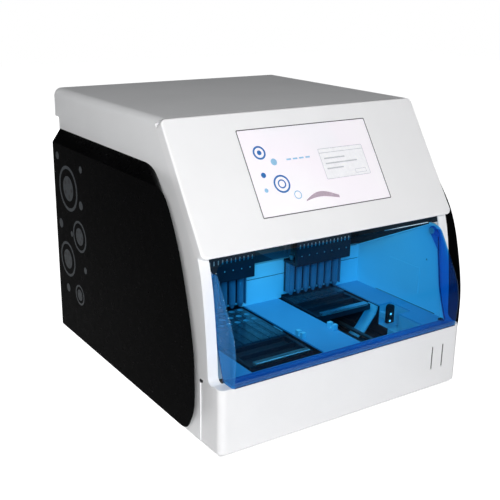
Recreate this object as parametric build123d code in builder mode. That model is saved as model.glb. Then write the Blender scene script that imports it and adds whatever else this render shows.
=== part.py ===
from build123d import *
import math
import os

os.makedirs("parts", exist_ok=True)

# ---------------------------------------------------------------- driving dimensions (mm)
BODY_HW = 282.0  # half width of the white housing
BOX_HW = 280.0  # half width of the lower front box
COVER_OUT = 310.0  # outer face of the black side covers, from the middle
TOP_Z = 541.0  # top face above the bottom edge of the white housing
FOOT_H = 8.0
LIP_Y = 672.0  # rear edge of the top lip, from the front plane of the box
REAR_Y = 642.0  # rear edge of the housing sides
DOOR_FRONT = -10.3  # foremost point of the door, from the front plane of the box
LEDGE_Z = 120.0  # ledge and deck height
BOX_D = 62.0  # depth of the lower front box
WALL = 3.0

FASCIA_L = 249.7  # slanted length of the upper front panel
FASCIA_HW = 283.0
FASCIA_D = 21.5
FASCIA_Y, FASCIA_Z = 50.8, 334.0  # its lower front edge
FASCIA_T = math.atan2(139.0, 207.4)  # lean from the vertical
SCREEN_W, SCREEN_H, SCREEN_S = 292.0, 165.0, 50.7

HINGE_Y, HINGE_Z = 74.0, 296.0
DOOR_HW = 260.0
DOOR_T = 3.0

WELL_X = {-1: -115.5, 1: 130.0}  # middle of the left and right tray openings
WELL_HW = 79.5
WELL_Y0, WELL_Y1 = 34.0, 434.0
TRAY_HW = 70.0
TRAY_L = 245.0
TRAY_Y = {"left": 51.0, "right": 173.0}  # front faces of the trays as they stand
STRIP_PITCH = 19.6
STRIPS = 7
HEAD_FRONT, HEAD_BACK = 250.0, 297.0
HEAD_Y = 284.0  # row of sleeves
TIP_TIP, TIP_TOP = 130.0, 202.0
WALL_TOP = 205.0  # top of the chamber's back wall
HOOD_TOP = 203.0
SCREW_Y = 308.0
READ_Y = 380.0

YO = -(LIP_Y + DOOR_FRONT) / 2  # front plane of the box in the part's frame
ZO = FOOT_H

SIN, COS = math.sin(FASCIA_T), math.cos(FASCIA_T)


# ---------------------------------------------------------------- helpers, in box coordinates
def block(x0, x1, y0, y1, z0, z1, mode=Mode.ADD):
    with Locations(((x0 + x1) / 2, (y0 + y1) / 2 + YO, (z0 + z1) / 2 + ZO)):
        Box(abs(x1 - x0), y1 - y0, z1 - z0, mode=mode)


def rod_x(x0, x1, y, z, r, mode=Mode.ADD):
    with BuildSketch(Plane.YZ.offset(min(x0, x1))) as disc:
        with Locations((y + YO, z + ZO)):
            Circle(r)
    extrude(disc.sketch, amount=abs(x1 - x0), mode=mode)


def rod_y(x, z, r, y0, y1, mode=Mode.ADD):
    with BuildSketch(Plane.XZ.offset(-(y0 + YO))) as disc:
        with Locations((x, z + ZO)):
            Circle(r)
    extrude(disc.sketch, amount=-(y1 - y0), mode=mode)


def rod_z(x, y, r, z0, z1, mode=Mode.ADD):
    with BuildSketch(Plane.XY.offset(z0 + ZO)) as disc:
        with Locations((x, y + YO)):
            Circle(r)
    extrude(disc.sketch, amount=z1 - z0, mode=mode)


def side_profile(points, x0, x1, mode=Mode.ADD):
    with BuildSketch(Plane.YZ.offset(x0)) as outline:
        with BuildLine():
            Polyline([(y + YO, z + ZO) for y, z in points], close=True)
        make_face()
    extrude(outline.sketch, amount=x1 - x0, mode=mode)


def save(builder, name):
    builder.part.label = name
    export_step(builder.part, "parts/" + name + ".step")


def on_fascia(s, depth):
    """Point (y, z) at slant distance s from the lower edge, depth behind the face."""
    return (FASCIA_Y + s * SIN + depth * COS, FASCIA_Z + s * COS - depth * SIN)


FOOT_BLEND = [(25.0, 120.0), (37.1, 132.0)]  # hollow blend between ledge and pillar
PILLAR = [(37.1, 132.0), (40.4, 176.0), (49.0, 246.0), (58.0, 296.0), (65.0, 319.5)]

# ---------------------------------------------------------------- base plate
with BuildPart() as base_plate:
    with BuildSketch(Plane.XY.offset(ZO)) as base_sketch:
        with Locations((0, (3.2 + 100) / 2 + YO)):
            Rectangle(2 * (BOX_HW - WALL), 96.8)
        fillet(base_sketch.vertices().group_by(Axis.Y)[0], 12)
        with Locations((0, (BOX_D + 1 + 640) / 2 + YO)):
            Rectangle(2 * (BODY_HW - WALL), 640 - BOX_D - 1)
    extrude(amount=3)
    for vy in range(5):
        with BuildSketch(Plane.XY.offset(ZO)):
            with Locations((150, 430 + vy * 14 + YO)):
                SlotOverall(120, 5)
        extrude(amount=3, mode=Mode.SUBTRACT)
save(base_plate, "base_plate")

# ---------------------------------------------------------------- lower front box
with BuildPart() as front_cover:
    with BuildSketch(Plane.XY.offset(ZO)) as box_outer:
        with Locations((0, BOX_D / 2 + YO)):
            Rectangle(2 * BOX_HW, BOX_D)
        fillet(box_outer.vertices().group_by(Axis.Y)[0], 12.5)
    extrude(amount=LEDGE_Z)
    top_front = front_cover.faces().sort_by(Axis.Z)[-1].edges().filter_by(
        lambda e: e.center().Y < BOX_D / 2 + YO + 1 and e.center().Y < YO + BOX_D - 1
    )
    fillet(top_front.filter_by(lambda e: e.center().Y < YO + 14), 2.0)
    with BuildSketch(Plane.XY.offset(ZO)) as box_inner:
        with Locations((0, WALL + BOX_D / 2 + YO)):
            Rectangle(2 * (BOX_HW - WALL), BOX_D)
        fillet(box_inner.vertices().group_by(Axis.Y)[0], 9.5)
    extrude(amount=LEDGE_Z - WALL, mode=Mode.SUBTRACT)
    block(-268, 268, 28, BOX_D + 1, LEDGE_Z - WALL - 1, LEDGE_Z + 1, mode=Mode.SUBTRACT)
    for sx in (207.7, 235.5):
        with BuildSketch(Plane.XZ.offset(-(YO - 1))):
            with Locations((sx, 61.5 + ZO)):
                SlotOverall(50, 3.4, rotation=90)
        extrude(amount=-(WALL + 2), mode=Mode.SUBTRACT)
save(front_cover, "front_cover")

# ---------------------------------------------------------------- housing: top, sides, door pillars, rear lip
GROOVE = FASCIA_D + 1.2
UNDERSIDE = FASCIA_Z - 1.9  # level underside of the upper front panel
PILLAR_TOP = UNDERSIDE - 0.7
g0 = on_fascia((PILLAR_TOP - FASCIA_Z + GROOVE * SIN) / COS, GROOVE)
g1 = on_fascia(FASCIA_L + 1.2, GROOVE)
tip_y = g1[0] - (TOP_Z - g1[1]) * COS / SIN
with BuildPart() as housing_void:
    with BuildSketch(Plane.YZ.offset(-(BODY_HW - WALL))):
        with BuildLine():
            Polyline((60 + YO, ZO - 1), (60 + YO, 119.5 + ZO), (39.6 + YO, 119.5 + ZO))
            Spline(
                (39.6 + YO, 119.5 + ZO),
                (43.5 + YO, 176 + ZO),
                (52.2 + YO, 246 + ZO),
                (61.4 + YO, 296 + ZO),
                (66.4 + YO, 314 + ZO),
            )
            c0 = on_fascia((PILLAR_TOP + 5.6 - FASCIA_Z + (FASCIA_D - 6) * SIN) / COS, FASCIA_D - 6)
            c1 = on_fascia(FASCIA_L - 1, FASCIA_D - 6)
            c2 = on_fascia(FASCIA_L - 1, FASCIA_D + 6)
            Polyline(
                (66.4 + YO, 314 + ZO),
                (70.6 + YO, PILLAR_TOP - WALL + ZO),
                (86.0 + YO, PILLAR_TOP - WALL + ZO),
                (86.0 + YO, c0[1] + ZO),
                (c0[0] + YO, c0[1] + ZO),
                (c1[0] + YO, c1[1] + ZO),
                (c2[0] + YO, c2[1] + ZO),
                (c2[0] + 12 + YO, TOP_Z - WALL + ZO),
                (LIP_Y - 20 + YO, TOP_Z - WALL + ZO),
            )
            RadiusArc((LIP_Y - 20 + YO, TOP_Z - WALL + ZO), (LIP_Y - WALL + YO, TOP_Z - 20 + ZO), 17)
            Polyline(
                (LIP_Y - WALL + YO, TOP_Z - 20 + ZO),
                (LIP_Y - WALL + YO, 485 + ZO),
                (REAR_Y + 1 + YO, 485 + ZO),
                (REAR_Y + 1 + YO, ZO - 1),
                (60 + YO, ZO - 1),
            )
        make_face()
    extrude(amount=2 * (BODY_HW - WALL))
    crown_inside = housing_void.edges().filter_by(Axis.Y).filter_by(
        lambda e: abs(e.center().Z - (TOP_Z - WALL + ZO)) < 0.5
    )
    fillet(crown_inside, 11)

with BuildPart() as housing_cover:
    with BuildSketch(Plane.YZ.offset(-BODY_HW)):
        with BuildLine():
            Polyline((BOX_D + 0.6 + YO, ZO), (BOX_D + 0.6 + YO, 120 + ZO), (25.0 + YO, 120 + ZO))
            Spline(
                [(y + YO, z + ZO) for y, z in (FOOT_BLEND[0], (33.5, 123.6), FOOT_BLEND[1])],
                tangents=((1, 0.05), (0.07, 1)),
            )
            Spline([(y + YO, z + ZO) for y, z in PILLAR])
            Polyline(
                (65.0 + YO, 319.5 + ZO),
                (68.6 + YO, PILLAR_TOP + ZO),
                (g0[0] + YO, g0[1] + ZO),
                (g1[0] + YO, g1[1] + ZO),
                (tip_y + YO, TOP_Z + ZO),
                (LIP_Y - 20 + YO, TOP_Z + ZO),
            )
            RadiusArc((LIP_Y - 20 + YO, TOP_Z + ZO), (LIP_Y + YO, TOP_Z - 20 + ZO), 20)
            Polyline(
                (LIP_Y + YO, TOP_Z - 20 + ZO),
                (LIP_Y + YO, 482 + ZO),
                (REAR_Y + YO, 482 + ZO),
                (REAR_Y + YO, ZO),
                (BOX_D + 0.6 + YO, ZO),
            )
        make_face()
    extrude(amount=2 * BODY_HW)
    crown = housing_cover.edges().filter_by(Axis.Y).filter_by(
        lambda e: abs(e.center().Z - (TOP_Z + ZO)) < 0.5
    )
    fillet(crown, 14)
    add(housing_void.part, mode=Mode.SUBTRACT)
    # the door opening between the pillar faces
    block(-262, 262, 20, 90, 118, 338, mode=Mode.SUBTRACT)
save(housing_cover, "housing_cover")

# ---------------------------------------------------------------- upper front panel with the screen opening
FACE = Plane(
    origin=(0, FASCIA_Y + YO, FASCIA_Z + ZO), x_dir=(1, 0, 0), z_dir=(0, -COS, SIN)
)
with BuildPart() as fascia_void:
    with BuildSketch(FACE.offset(-WALL)):
        with Locations((0, FASCIA_L / 2)):
            RectangleRounded(2 * (FASCIA_HW - WALL - 3), FASCIA_L - 2 * WALL, 8)
    extrude(amount=-FASCIA_D)
    block(-FASCIA_HW - 1, FASCIA_HW + 1, 40, 110, 300, UNDERSIDE + WALL, mode=Mode.SUBTRACT)

with BuildPart() as fascia_panel:
    with BuildSketch(FACE) as face_outline:
        with Locations((0, FASCIA_L / 2)):
            RectangleRounded(2 * FASCIA_HW, FASCIA_L, 11)
    extrude(amount=-FASCIA_D)
    rim = fascia_panel.edges().filter_by(
        lambda e: abs((e.center() - FACE.origin).dot(FACE.z_dir)) < 0.05
    )
    fillet(rim, 3.5)
    block(-FASCIA_HW - 1, FASCIA_HW + 1, 40, 110, 300, UNDERSIDE, mode=Mode.SUBTRACT)
    add(fascia_void.part, mode=Mode.SUBTRACT)
    with BuildSketch(FACE.offset(1)):
        with Locations((0, SCREEN_S + SCREEN_H / 2)):
            RectangleRounded(SCREEN_W + 0.4, SCREEN_H + 0.4, 3)
    extrude(amount=-(WALL + 2), mode=Mode.SUBTRACT)
save(fascia_panel, "fascia_panel")

with BuildPart() as touch_glass:
    with BuildSketch(FACE.offset(-0.2)):
        with Locations((0, SCREEN_S + SCREEN_H / 2)):
            RectangleRounded(SCREEN_W, SCREEN_H, 2.8)
    extrude(amount=-(WALL - 0.2))
save(touch_glass, "touch_glass")

with BuildPart() as display_module:
    with BuildSketch(FACE.offset(-WALL)):
        with Locations((0, SCREEN_S + SCREEN_H / 2)):
            RectangleRounded(SCREEN_W + 14, SCREEN_H + 14, 3)
    extrude(amount=-9)
    with BuildSketch(FACE.offset(-WALL - 9)):
        with Locations((40, SCREEN_S + SCREEN_H / 2)):
            RectangleRounded(150, 90, 3)
    extrude(amount=-7)
save(display_module, "display_module")

# ---------------------------------------------------------------- black side covers
LOWER_OUT = [(45.0, 57.0), (36.4, 76.0), (32.1, 119.0), (33.9, 172.0), (44.5, 230.0), (59.5, 285.0)]
# the right cover draws back behind the upper front panel
UPPER_OUT = {
    "left": [(77.0, 337.0), (99.0, 385.0), (119.7, 419.0), (138.0, 433.0), (165.0, 437.0)],
    "right": [(82.5, 337.0), (119.0, 385.0), (142.5, 419.0), (160.0, 433.0), (186.0, 437.0)],
}
OUTLINE_IN = [
    (101.0, 37.0), (92.0, 62.0), (87.0, 105.0), (89.0, 158.0), (99.5, 214.0),
    (117.0, 268.0), (135.0, 322.0), (158.0, 371.0), (182.0, 409.0),
]
for side, s in (("left", -1), ("right", 1)):
    inner_plane = Plane.YZ.offset(s * BODY_HW)
    outer_plane = Plane.YZ.offset(s * COVER_OUT)
    with BuildPart() as side_cover:
        with BuildSketch(inner_plane):
            with BuildLine():
                Spline([(y + YO, z + ZO) for y, z in OUTLINE_IN])
                Spline(
                    (182.0 + YO, 409.0 + ZO), (203 + YO, 441 + ZO), (250 + YO, 458 + ZO),
                    tangents=((0.55, 0.83), (1, 0)),
                )
                Polyline((250 + YO, 458 + ZO), (638 + YO, 458 + ZO))
                Polyline((638 + YO, 458 + ZO), (638 + YO, 12 + ZO))
                Polyline((638 + YO, 12 + ZO), (130 + YO, 12 + ZO))
                Spline(
                    (130 + YO, 12 + ZO), (112 + YO, 18 + ZO), (101.0 + YO, 37.0 + ZO),
                )
            make_face()
        with BuildSketch(outer_plane):
            with BuildLine():
                upper = [(y + YO, z + ZO) for y, z in UPPER_OUT[side]]
                Spline([(y + YO, z + ZO) for y, z in LOWER_OUT] + upper[:3])
                Spline(*upper[2:], tangents=((0.60, 0.80), (1, 0)))
                Polyline(upper[4], (613 + YO, 437 + ZO))
                Polyline((613 + YO, 437 + ZO), (613 + YO, 31 + ZO))
                Polyline((613 + YO, 31 + ZO), (84 + YO, 31 + ZO))
                Spline(
                    (84 + YO, 31 + ZO), (60 + YO, 37 + ZO), (45.0 + YO, 57.0 + ZO),
                )
            make_face()
        loft(ruled=True)
        # hollow behind the face
        with BuildSketch(inner_plane):
            with BuildLine():
                Polyline(
                    [(y + YO, z + ZO) for y, z in (
                        (112, 45), (100, 75), (97, 120), (101, 168), (112, 222), (131, 280),
                        (151, 333), (175, 380), (205, 422), (245, 446), (628, 446), (628, 24), (130, 24),
                    )],
                    close=True,
                )
            make_face()
        with BuildSketch(Plane.YZ.offset(s * (COVER_OUT - WALL))):
            with BuildLine():
                Polyline(
                    [(y + YO, z + ZO) for y, z in (
                        (58, 62), (48, 82), (44, 122), (46, 172), (57, 230), (73, 286),
                        (UPPER_OUT[side][0][0] + 14, 340), (UPPER_OUT[side][1][0] + 14, 388),
                        (UPPER_OUT[side][2][0] + 15.3, 420), (UPPER_OUT[side][4][0], 430), (606, 430), (606, 38), (80, 38),
                    )],
                    close=True,
                )
            make_face()
        loft(ruled=True, mode=Mode.SUBTRACT)
    save(side_cover, side + "_side_cover")

# ---------------------------------------------------------------- inner frame
for side, s in (("left", -1), ("right", 1)):
    with BuildPart() as side_plate:
        xa, xb = (268.0, 270.0) if s > 0 else (-270.0, -268.0)
        side_profile(
            [(66, 3), (66, 120.3), (41.2, 120.3), (44.8, 176), (53.4, 246), (62.6, 296), (68.4, 318),
             (70, 327.4), (87.5, 327.4), (87.5, 345), (121, 392), (600, 392), (600, 3)],
            xa, xb,
        )
        # folded upper edge of the chamber wall, rising to the front
        side_profile([(299.4, 206.4), (299.4, 204.2), (92, 301.8), (92, 304.0)], *((262.0, xa) if s > 0 else (xb, -262.0)))
        # raised field stiffening the chamber wall
        side_profile([(110, 150), (110, 205), (200, 205), (200, 150)], xa - (0.8 if s > 0 else 0), xb + (0 if s > 0 else 0.8))
    save(side_plate, side + "_side_plate")

with BuildPart() as deck_plate:
    block(-268, 268, 28.4, 452, LEDGE_Z - WALL, LEDGE_Z)
    for s in (-1, 1):
        block(WELL_X[s] - WELL_HW, WELL_X[s] + WELL_HW, WELL_Y0, WELL_Y1, LEDGE_Z - 5, LEDGE_Z + 1, mode=Mode.SUBTRACT)
    # bay for the strip sensor beside the right opening
    block(205, 242, 100, 160, LEDGE_Z - 5, LEDGE_Z + 1, mode=Mode.SUBTRACT)
save(deck_plate, "deck_plate")

with BuildPart() as chamber_back_wall:
    block(-268, 268, 300, 302, LEDGE_Z, WALL_TOP)
    block(-268, 268, 302, 309, WALL_TOP - 2, WALL_TOP)
    # pressed line across the wall
    block(-269, 269, 299, 301, 173.6, 175.4, mode=Mode.SUBTRACT)
    for s in (-1, 1):
        block(WELL_X[s] - 72, WELL_X[s] + 72, 299, 303, LEDGE_Z - 1, 127, mode=Mode.SUBTRACT)
save(chamber_back_wall, "chamber_back_wall")

with BuildPart() as upper_shelf:
    block(-270, 270, 128, 600, 392, 394)
    for s in (-1, 1):
        rod_z(WELL_X[s] + 25, SCREW_Y, 6, 391, 395, mode=Mode.SUBTRACT)
    for k in range(6):
        block(-200 + k * 70, -160 + k * 70, 580, 585, 391, 395, mode=Mode.SUBTRACT)
save(upper_shelf, "upper_shelf")

# ---------------------------------------------------------------- tray wells, rails, trays
for side, s in (("left", -1), ("right", 1)):
    xc = WELL_X[s]
    ty = TRAY_Y[side]
    with BuildPart() as tray_tub:
        block(xc - 81.5, xc + 81.5, 32, 436, 53, 117)
        if s > 0:
            block(205, 244, 98, 162, 74, 117)
        block(xc - WELL_HW, xc + WELL_HW, WELL_Y0, WELL_Y1, 55, 118, mode=Mode.SUBTRACT)
        if s > 0:
            block(205, 242, 100, 160, 76, 118, mode=Mode.SUBTRACT)
        rod_y(xc, 86, 4.06, 31, 35, mode=Mode.SUBTRACT)
        rod_y(xc, 86, 5.0, 433, 437, mode=Mode.SUBTRACT)
        block(xc - 30, xc + 30, 100, 104, 3, 53)
        block(xc - 30, xc + 30, 340, 344, 3, 53)
    save(tray_tub, side + "_tray_tub")

    with BuildPart() as tray:
        block(xc - TRAY_HW, xc + TRAY_HW, ty + 4, ty + TRAY_L, 106, 118)
        block(xc - 63, xc + 63, ty + 14, ty + 51, 108.5, 119, mode=Mode.SUBTRACT)
        block(xc - 63, xc + 63, ty + 54, ty + 84, 108.5, 119, mode=Mode.SUBTRACT)
        for k in range(STRIPS):
            xs = xc + (k - (STRIPS - 1) / 2) * STRIP_PITCH
            block(xs - 9.1, xs + 9.1, ty + 86, ty + 242, 110, 119, mode=Mode.SUBTRACT)
        block(xc - 22, xc + 22, ty + 60, ty + 190, 61, 106)
        block(xc - 6.2, xc + 6.2, ty + 59, ty + 191, 60, 68.3, mode=Mode.SUBTRACT)
        rod_y(xc, 86, 4.06, ty + 59, ty + 191, mode=Mode.SUBTRACT)
    save(tray, side + "_tray")

    with BuildPart() as tray_handle:
        block(xc - 59.5, xc + 59.5, ty, ty + 12, 118, 123.5)
        fillet(tray_handle.edges().filter_by(Axis.X).group_by(Axis.Y)[0], 1.5)
    save(tray_handle, side + "_tray_handle")

    with BuildPart() as strips:
        for k in range(STRIPS):
            xs = xc + (k - (STRIPS - 1) / 2) * STRIP_PITCH
            block(xs - 8.9, xs + 8.9, ty + 86.3, ty + 241.7, 110, 121.5)
        with BuildSketch(Plane.XY.offset(121.5 + ZO)):
            with Locations((xc, ty + 207 + YO)):
                with GridLocations(STRIP_PITCH, 26.0, STRIPS, 3):
                    Circle(6.6)
        extrude(amount=-10, mode=Mode.SUBTRACT)
        # sealed reagent cells under film
        with BuildSketch(Plane.XY.offset(121.5 + ZO)):
            with Locations((xc, ty + 130 + YO)):
                with GridLocations(STRIP_PITCH, 1.0, STRIPS, 1):
                    SlotOverall(70, 12, rotation=90)
        extrude(amount=-0.5, mode=Mode.SUBTRACT)
    save(strips, side + "_strips")

    with BuildPart() as tray_screw:
        rod_y(xc, 86, 4.0, 32.2, 454)
    save(tray_screw, side + "_tray_screw")

with BuildPart() as tray_rails:
    for s in (-1, 1):
        block(WELL_X[s] - 6, WELL_X[s] + 6, 38, 430, 55, 68)
save(tray_rails, "tray_rails")

with BuildPart() as tray_motors:
    for s in (-1, 1):
        block(WELL_X[s] - 21, WELL_X[s] + 21, 436, 476, 65, 107)
        rod_y(WELL_X[s], 86, 4.06, 435, 456, mode=Mode.SUBTRACT)
save(tray_motors, "tray_motors")

with BuildPart() as flat_cables:
    for s in (-1, 1):
        xc = WELL_X[s]
        with BuildSketch(Plane.XZ.offset(-(164 + YO))):
            with BuildLine():
                Polyline(
                    [(xc + dx, z + ZO) for dx, z in (
                        (WELL_HW, 115.0), (73.2, 100.0), (46.0, 66.0), (30.0, 57.0), (30.0, 55.0), (47.6, 63.0),
                        (75.0, 97.0), (WELL_HW, 108.5),
                    )],
                    close=True,
                )
            make_face()
        extrude(amount=-30)
save(flat_cables, "flat_cables")

with BuildPart() as tray_sensors:
    for xa, xb in ((-35.5, -26.5), (41.0, 50.0)):
        block(xa, xb, 102, 124, LEDGE_Z, 131)
        block(xa - 1, xb + 1, 109.5, 115, 123, 132, mode=Mode.SUBTRACT)
save(tray_sensors, "tray_sensors")

with BuildPart() as strip_sensor:
    block(208, 225, 130, 138, 88, 128)
    fillet(strip_sensor.edges().filter_by(Axis.Y).group_by(Axis.Z)[-1], 7)
    block(212, 221, 138, 160, 92, 104)
save(strip_sensor, "strip_sensor")

# ---------------------------------------------------------------- lifting heads with their sleeve combs
for side, s in (("left", -1), ("right", 1)):
    xc = WELL_X[s]
    with BuildPart() as head:
        block(xc - 70, xc + 70, HEAD_FRONT, HEAD_FRONT + 8, 202, 262)
        fillet(head.edges().filter_by(Axis.X).group_by(Axis.Y)[0], 2)
        block(xc - 70, xc + 70, HEAD_FRONT + 8, HEAD_BACK, 202, 208)
        block(xc - 32, xc + 32, HEAD_FRONT + 8, HEAD_BACK, 208, 262)
        block(xc - 15, xc + 15, HEAD_BACK, SCREW_Y + 8.6, 216, 258)
        block(xc - 6.2, xc + 6.2, SCREW_Y + 1.6, SCREW_Y + 9, 215, 259, mode=Mode.SUBTRACT)
        block(xc + 15, xc + 34, HEAD_BACK, SCREW_Y + 8, 228, 248)
        rod_z(xc + 25, SCREW_Y, 4.06, 227, 249, mode=Mode.SUBTRACT)
    save(head, side + "_head")

    with BuildPart() as pistons:
        for k in range(STRIPS):
            xs = xc + (k - (STRIPS - 1) / 2) * STRIP_PITCH
            top = 262 if abs(xs - xc) < 36 else 208
            rod_z(xs, HEAD_Y, 4.5, top, top + 10)
            rod_z(xs, HEAD_Y, 6.5, top + 6, top + 10)
            rod_z(xs, HEAD_Y - 16, 2.6, top, top + 5)
    save(pistons, side + "_pistons")

    with BuildPart() as tips:
        block(xc - 69, xc + 69, 290.5, 296, 136, TIP_TOP)
        block(xc - 69, xc - 67, 277, 291, 136, TIP_TOP)
        block(xc + 67, xc + 69, 277, 291, 136, TIP_TOP)
        for k in range(STRIPS):
            xs = xc + (k - (STRIPS - 1) / 2) * STRIP_PITCH
            with BuildSketch(Plane.XY.offset(TIP_TIP + ZO)):
                with Locations((xs, HEAD_Y + YO)):
                    Circle(3.4)
            with BuildSketch(Plane.XY.offset(TIP_TIP + 9 + ZO)):
                with Locations((xs, HEAD_Y + YO)):
                    Circle(7.2)
            loft()
            rod_z(xs, HEAD_Y, 7.2, TIP_TIP + 9, TIP_TOP)
    save(tips, side + "_tips")

    with BuildPart() as head_screw:
        rod_z(xc + 25, SCREW_Y, 4.0, 208, 412)
    save(head_screw, side + "_head_screw")

    with BuildPart() as reader_hood:
        block(xc - 84, xc + 84, 302, 444, LEDGE_Z, HOOD_TOP)
        block(xc - 81.5, xc + 81.5, 304.5, 441.5, LEDGE_Z - 1, HOOD_TOP - 2.5, mode=Mode.SUBTRACT)
        block(xc - 72, xc + 72, 301, 306, LEDGE_Z - 1, 127, mode=Mode.SUBTRACT)
        rod_z(xc, READ_Y, 12, HOOD_TOP - 4, HOOD_TOP + 1, mode=Mode.SUBTRACT)
    save(reader_hood, side + "_reader_hood")

with BuildPart() as head_columns:
    for s in (-1, 1):
        xc = WELL_X[s]
        block(xc - 36, xc + 36, 318, 338, HOOD_TOP, 392)
        block(xc - 28, xc - 10, 317, 334, 240, 380, mode=Mode.SUBTRACT)
        block(xc + 15, xc + 35, 299, 318, 207, 215)
        rod_z(xc + 25, SCREW_Y, 4.06, 206, 216, mode=Mode.SUBTRACT)
save(head_columns, "head_columns")

with BuildPart() as head_rails:
    for s in (-1, 1):
        block(WELL_X[s] - 6, WELL_X[s] + 6, SCREW_Y + 1.8, 318, 206, 388)
save(head_rails, "head_rails")

with BuildPart() as head_motors:
    for s in (-1, 1):
        xm = WELL_X[s] + 25
        block(xm - 21, xm + 21, SCREW_Y - 21, SCREW_Y + 21, 394, 434)
        rod_z(xm, SCREW_Y, 4.06, 393, 413, mode=Mode.SUBTRACT)
save(head_motors, "head_motors")

with BuildPart() as light_detectors:
    for s in (-1, 1):
        rod_z(WELL_X[s], READ_Y, 22, HOOD_TOP, 291)
        rod_z(WELL_X[s], READ_Y, 26, HOOD_TOP, 211)
        rod_z(WELL_X[s], READ_Y, 15, 291, 299)
save(light_detectors, "light_detectors")

# ---------------------------------------------------------------- electronics
with BuildPart() as main_board:
    block(-190, 190, 340, 570, 400, 402)
    for px in (-180, 180):
        for py in (350, 560):
            rod_z(px, py, 4, 394, 400)
    block(-150, -90, 380, 440, 402, 414)
    block(-40, 0, 390, 430, 402, 405)
    block(60, 170, 360, 376, 402, 412)
    block(60, 170, 530, 546, 402, 412)
    block(-170, -60, 510, 546, 402, 418)
    for k in range(6):
        rod_z(30 + k * 20, 460, 5, 402, 418)
save(main_board, "main_board")

with BuildPart() as power_supply:
    block(-250, -95, 440, 600, 3, 58)
    fillet(power_supply.edges().filter_by(Axis.Z), 2)
save(power_supply, "power_supply")

with BuildPart() as card_readers:
    for sx in (207.7, 235.5):
        block(sx - 9, sx + 9, 3, 32, 30, 93)
        block(sx - 1.45, sx + 1.45, 0.8, 3, 38.6, 84.4)
        block(sx - 0.6, sx + 0.6, 0, 24, 40.0, 83.0, mode=Mode.SUBTRACT)
save(card_readers, "card_readers")

# ---------------------------------------------------------------- rear panel and what it carries
FAN_X, FAN_Z = 72.0, 290.0
INLET = (-232.0, -150.0, 44.0, 76.0)
with BuildPart() as rear_panel:
    block(-279, 279, 638, 640, 3, 537)
    fillet(rear_panel.edges().filter_by(Axis.Y).group_by(Axis.Z)[-1], 11)
    for s in (-1, 1):
        rod_y(s * FAN_X, FAN_Z, 38, 637, 641, mode=Mode.SUBTRACT)
    block(-230, -152, 637, 641, 46, 74, mode=Mode.SUBTRACT)
    block(-118, -100, 637, 641, 52, 66, mode=Mode.SUBTRACT)
    block(-88, -70, 637, 641, 52, 60, mode=Mode.SUBTRACT)
    block(-58, -40, 637, 641, 52, 60, mode=Mode.SUBTRACT)
    for k in range(21):
        with BuildSketch(Plane.XZ.offset(-(637 + YO))):
            with Locations((-200 + k * 20, 425 + ZO)):
                SlotOverall(46, 6, rotation=90)
        extrude(amount=-4, mode=Mode.SUBTRACT)
    for k in range(21):
        with BuildSketch(Plane.XZ.offset(-(637 + YO))):
            with Locations((-200 + k * 20, 150 + ZO)):
                SlotOverall(46, 6, rotation=90)
        extrude(amount=-4, mode=Mode.SUBTRACT)
save(rear_panel, "rear_panel")

RX, RZ = -166.0, 60.0  # rocker pivot
with BuildPart() as power_inlet:
    block(INLET[0], INLET[1], 640, 643, INLET[2], INLET[3])
    block(-229.8, -152.2, 608, 640, 46.2, 73.8)
    block(-206 - 13.5, -206 + 13.5, 622, 644, 50.5, 69.5, mode=Mode.SUBTRACT)
    for px, pz in ((-206, 64.5), (-213, 56.5), (-199, 56.5)):
        block(px - 1, px + 1, 621, 638, pz - 2.2, pz + 2.2)
    block(RX - 7, RX + 7, 624, 644, RZ - 11.2, RZ + 11.2, mode=Mode.SUBTRACT)
    rod_x(RX - 10, RX + 10, 637, RZ, 1.56, mode=Mode.SUBTRACT)
save(power_inlet, "power_inlet")

ROCK = math.radians(8)
with BuildPart() as power_rocker:
    pts = []
    for dy, dz in ((7.5, -9.6), (6.0, 0.0), (7.5, 9.6), (-1.0, 9.6), (-5.5, 3.0), (-5.5, -3.0), (-1.0, -9.6)):
        pts.append((637 + dy * math.cos(ROCK) - dz * math.sin(ROCK), RZ + dy * math.sin(ROCK) + dz * math.cos(ROCK)))
    side_profile(pts, RX - 6.6, RX + 6.6)
    rod_x(RX - 9.6, RX + 9.6, 637, RZ, 1.5)
save(power_rocker, "power_rocker")

with BuildPart() as data_sockets:
    block(-117.6, -100.4, 622, 642, 52.4, 65.6)
    block(-114.5, -103.5, 630, 643, 54.5, 62, mode=Mode.SUBTRACT)
    for xs in (-79, -49):
        block(xs - 8.6, xs + 8.6, 622, 641.5, 52.4, 59.6)
        block(xs - 6.5, xs + 6.5, 628, 643, 54, 58.4, mode=Mode.SUBTRACT)
        block(xs - 5.5, xs + 5.5, 627, 640, 56.6, 57.8)
save(data_sockets, "data_sockets")

with BuildPart() as fan_frames:
    for s in (-1, 1):
        fx = s * FAN_X
        block(fx - 40, fx + 40, 613, 638, FAN_Z - 40, FAN_Z + 40)
        rod_y(fx, FAN_Z, 38, 612, 639, mode=Mode.SUBTRACT)
        block(fx - 39, fx + 39, 613, 616, FAN_Z - 3, FAN_Z + 3)
        block(fx - 3, fx + 3, 613, 616, FAN_Z - 39, FAN_Z + 39)
        rod_y(fx, FAN_Z, 15, 613, 616)
        rod_y(fx, FAN_Z, 2, 616, 632)
save(fan_frames, "fan_frames")

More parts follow.
